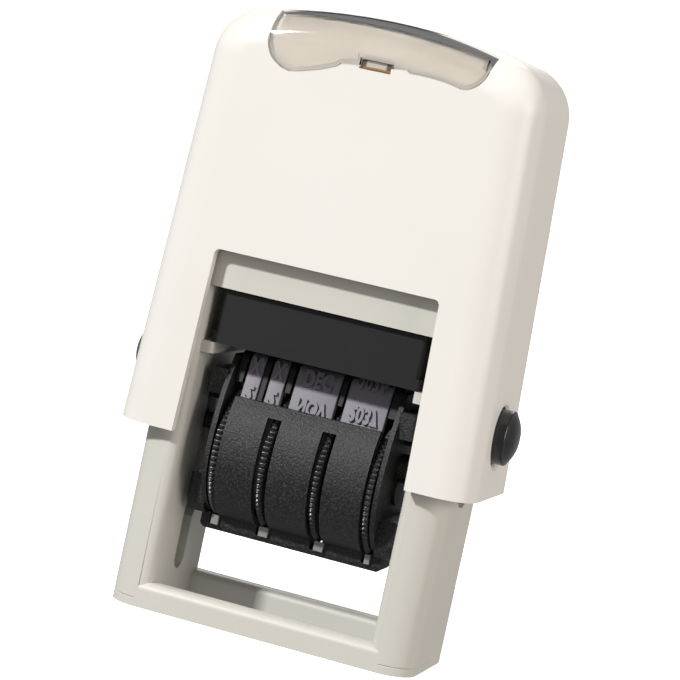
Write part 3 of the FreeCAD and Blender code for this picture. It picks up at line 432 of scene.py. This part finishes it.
def buildWheel(name, middle):
    # A closed outline of x and radius turned about the axle; on the rim the radius also grows by
    # pip height x (1 - across^2) x (a raised cosine of pips x angle)^pip power.
    left, right = (v * mm for v in bands[name]["edges"])
    side = 1 if middle > right else -1
    far, near = (left, right) if side > 0 else (right, left)
    far, near = far + side * wheel["sideGap"], near - side * wheel["sideGap"]
    across = np.linspace(-1, 1, wheel["rimPoints"])
    half = side * wheel["rimHalfWidth"]
    drum = [far, far, near, near, middle - half]
    x = np.concatenate([drum, middle + half * across, [middle + half]])
    bore, outer, hub = wheel["boreRadius"], wheel["drumRadius"], wheel["hubRadius"]
    rim = np.full(len(across), wheel["rimRadius"])
    radius = np.concatenate([[bore, outer, outer, hub, hub], rim, [bore]])
    dome = np.pad(1 - across ** 2, (len(drum), 1))
    steps = wheel["pips"] * wheel["stepsPerPip"]
    angle = np.linspace(0, 2 * math.pi, steps, endpoint=False)[:, None]
    pip = (0.5 + 0.5 * np.cos(wheel["pips"] * angle)) ** wheel["pipPower"]
    points = turnedPoints(x, radius + wheel["pipHeight"] * dome * pip, angle, 0, belt["axleHeight"])
    faces = gridFaces(steps, len(x), True, True, flip=side > 0)
    piece = makePiece(name + "_thumbwheel", points, faces, paints["wheelBlack"])
    shadeByAngle(piece, wheel["sharpAngle"])
    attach(piece, name)
    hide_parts(name + "_wheel")


for name, middle in rims.items():
    buildWheel(name, middle)
print("thumbwheels", len(rims))

# Lock buttons: a flange inside the wall, a stem through the hole and a low crowned face

button = {
    "height": 30.2 * mm, "place": -0.6 * mm, "back": 20.66 * mm, "flangeFront": 21.1 * mm, "edge": 24.0 * mm,
    "apex": 24.95 * mm, "radius": 3.4 * mm, "flangeRadius": 4.2 * mm, "edgeRound": 0.25 * mm,
    "backCentre": 0.05 * mm, "faceCentre": 0.01, "facePoints": 14, "roundPoints": 5, "crownPower": 2.6,
    "steps": 96, "sharpAngle": 40,
}


def buildButton(name, side):
    # An outline of reach and radius turned about X; over the face the reach is
    # edge + crown x (1 - share^crown power), where share is the radius as a part of the face's.
    share = np.linspace(1, button["faceCentre"], button["facePoints"])
    turn = np.linspace(0, math.pi / 2, button["roundPoints"] + 1)[:-1]
    soft, back, front = button["edgeRound"], button["back"], button["flangeFront"]
    crown = (button["apex"] - button["edge"]) * (1 - share ** button["crownPower"])
    reach = np.concatenate([
        [back, back, front, front], button["edge"] - soft + soft * np.sin(turn), button["edge"] + crown])
    wide, stem = button["flangeRadius"], button["radius"]
    radius = np.concatenate([
        [button["backCentre"], wide, wide, stem], stem - soft + soft * np.cos(turn), (stem - soft) * share])
    angle = np.linspace(0, 2 * math.pi, button["steps"], endpoint=False)[:, None]
    points = turnedPoints(side * reach, radius, angle, button["place"], button["height"])
    faces = gridFaces(button["steps"], len(reach), True, False, flip=side > 0)
    first = np.arange(button["steps"]) * len(reach)
    last = first + len(reach) - 1
    faces += [first[::-side].tolist(), last[::side].tolist()]
    piece = makePiece(name + "_push", points, faces, paints["buttonBlack"])
    shadeByAngle(piece, button["sharpAngle"])
    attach(piece, name.replace("lock_", ""))
    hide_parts(name)


buildButton("lock_button_right", 1)
buildButton("lock_button_left", -1)
print("lock buttons ready")

# Catch behind the window's notch, seen through the clear edge: amber below, grey at its ends, and a lighter
# middle that is a painted glint

catch = {
    "left": -1.42 * mm, "right": 2.42 * mm, "low": 70.1 * mm, "high": 71.2 * mm, "front": -10.4 * mm,
    "back": -9.5 * mm, "around": 40, "sections": 13, "sharpAngle": 45,
    "ends": 0.75 * mm, "strip": 0.34 * mm, "softFrom": 0.8, "wobble": 0.1 * mm,
    "endColour": rgb(104, 92, 82), "glintColour": rgb(196, 188, 178), "stripColour": rgb(150, 116, 72),
    "cloudPerMm": 1.5, "detail": 3, "cloudDepth": 0.02, "roughness": 0.2, "roughnessSpread": 0.1, "coat": 0.5,
}


def catchPaint():
    material, shader, place = startMaterial("catchAmber")
    across = place.node("ShaderNodeSeparateXYZ", None, {"Vector": place}, out=0)
    up = place.node("ShaderNodeSeparateXYZ", None, {"Vector": place}, out=2)
    cloud = noise(place, catch["cloudPerMm"], catch["detail"])
    middle = (catch["left"] + catch["right"]) / 2
    fromEnd = (catch["right"] - catch["left"]) / 2 - (across - middle).magnitude()
    # blend from the darker ends to the painted glint in the middle
    inner = fromEnd.ramp(catch["ends"] * catch["softFrom"], catch["ends"])
    wavy = up + (cloud - 0.5) * catch["wobble"]
    aboveStrip = wavy.ramp(catch["low"] + catch["strip"] * catch["softFrom"], catch["low"] + catch["strip"])
    body = inner.mix(catch["endColour"], catch["glintColour"])
    feed(shader, "Base Color", aboveStrip.mix(catch["stripColour"], body))
    feed(shader, "Roughness", catch["roughness"] + cloud * catch["roughnessSpread"])
    shader.inputs["Coat Weight"].default_value = catch["coat"]
    bump(shader, cloud, catch["cloudDepth"])
    return material


def buildCatch():
    # A bar along X whose section is the superellipse |y|^4 + |z|^4 = 1, scaled to its half sizes.
    around, sections = catch["around"], catch["sections"]
    angle = np.linspace(0, 2 * math.pi, around, endpoint=False)
    deep, high = (np.sign(f) * np.abs(f) ** 0.5 for f in (np.cos(angle), np.sin(angle)))
    x = np.linspace(catch["left"], catch["right"], sections)
    y = (catch["front"] + catch["back"]) / 2 + (catch["back"] - catch["front"]) / 2 * deep
    z = (catch["low"] + catch["high"]) / 2 + (catch["high"] - catch["low"]) / 2 * high
    points = np.stack([np.repeat(x, around), np.tile(y, sections), np.tile(z, sections)], axis=-1)
    faces = gridFaces(sections, around, False, True)
    ring = np.arange(around)
    faces += [ring[::-1].tolist(), (ring + (sections - 1) * around).tolist()]
    piece = makePiece("window_catch", points, faces, catchPaint())
    shadeByAngle(piece, catch["sharpAngle"])
    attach(piece, "cap")


buildCatch()
print("window catch ready")

# Floor and backdrop, light and camera

studio = {
    "reach": 1.5, "backdropHeight": 1.6, "lines": 21, "floorGlow": 0.8, "backdropGlow": 1.0,
    "colour": rgb(250, 250, 249), "colourB": rgb(248, 248, 247), "cloudPerMm": 0.02, "detail": 2,
    "roughness": 0.8, "roughnessSpread": 0.1, "worldStrength": 0.29, "target": (0.00021, 0, 0.03698),
}
lights = {
    "key": {"place": (-0.62, -0.95, 0.8), "size": 0.1, "power": 17.5, "tint": (1, 1, 1)},
    "top": {"place": (-0.1, -0.15, 0.9), "size": 0.5, "power": 0.3, "tint": (1, 1, 1)},
    "fill": {"place": (0.9, -0.2, 0.25), "size": 0.5, "power": 4.6, "tint": (1.0, 0.93, 0.87)},
    "rear": {"place": (-0.25, 0.9, 0.7), "size": 0.5, "power": 3.5, "tint": (1, 1, 1)},
}
view = {
    "yaw": 15.769, "elevation": 5.299, "roll": 12.1, "distance": 0.3378, "lens": 145.04, "sensor": 36,
    "near": 0.02, "far": 20,
}


def stagePaint(name, glow):
    material, shader, place = startMaterial(name + "Paper")
    cloud = noise(place, studio["cloudPerMm"], studio["detail"])
    feed(shader, "Base Color", cloud.mix(studio["colour"], studio["colourB"]))
    feed(shader, "Roughness", studio["roughness"] + cloud * studio["roughnessSpread"])
    shader.inputs["Emission Color"].default_value = (1, 1, 1, 1)
    shader.inputs["Emission Strength"].default_value = glow
    return material


def buildStage(name, x, y, z, glow):
    # A flat grid of quads over the two parameters that the arrays x, y and z share.
    points = np.stack([x, y, z], axis=-1).reshape(-1, 3)
    sheet = makePiece(name, points, gridFaces(*x.shape, False, False, flip=True), stagePaint(name, glow))
    sheet.visible_diffuse = False  # white to look at, without lighting the stamp from below and behind
    sheet.visible_glossy = False


def buildFloor():
    line = np.linspace(-studio["reach"], studio["reach"], studio["lines"])
    across, deep = np.meshgrid(line, line, indexing="ij")
    buildStage("floor", across, deep, np.zeros_like(across), studio["floorGlow"])
    across, high = np.meshgrid(line, np.linspace(0, studio["backdropHeight"], studio["lines"]), indexing="ij")
    buildStage("backdrop", across, np.full_like(across, studio["reach"]), high, studio["backdropGlow"])


def areaLight(role, light):
    lamp = bpy.data.lights.new(role + "Light", "AREA")
    lamp.size = light["size"]
    lamp.energy = light["power"]
    lamp.color = light["tint"]
    thing = bpy.data.objects.new(role + "Light", lamp)
    thing.location = light["place"]
    aim = Vector(studio["target"]) - thing.location
    thing.rotation_euler = aim.to_track_quat("-Z", "Y").to_euler()
    bpy.context.scene.collection.objects.link(thing)


def buildWorld():
    world = bpy.data.worlds.new("studio")
    world.use_nodes = True
    sky = world.node_tree.nodes["Background"]
    sky.inputs["Color"].default_value = (1, 1, 1, 1)
    sky.inputs["Strength"].default_value = studio["worldStrength"]
    bpy.context.scene.world = world
    bpy.context.scene.view_settings.view_transform = "Standard"


def buildCamera():
    yaw, lift = math.radians(view["yaw"]), math.radians(view["elevation"])
    back = Vector((math.sin(yaw) * math.cos(lift), -math.cos(yaw) * math.cos(lift), math.sin(lift)))
    camera = bpy.data.objects.new("camera", bpy.data.cameras.new("camera"))
    camera.data.lens = view["lens"]
    camera.data.sensor_width = view["sensor"]
    camera.data.clip_start = view["near"]
    camera.data.clip_end = view["far"]
    place = Matrix.Translation(Vector(studio["target"]) + back * view["distance"])
    turn = (-back).to_track_quat("-Z", "Y").to_matrix().to_4x4()
    camera.matrix_world = place @ turn @ Matrix.Rotation(math.radians(view["roll"]), 4, "Z")
    bpy.context.scene.collection.objects.link(camera)
    bpy.context.scene.camera = camera


buildFloor()
buildWorld()
for role, light in lights.items():
    areaLight(role, light)
buildCamera()
print("studio ready")

bpy.context.view_layer.update()
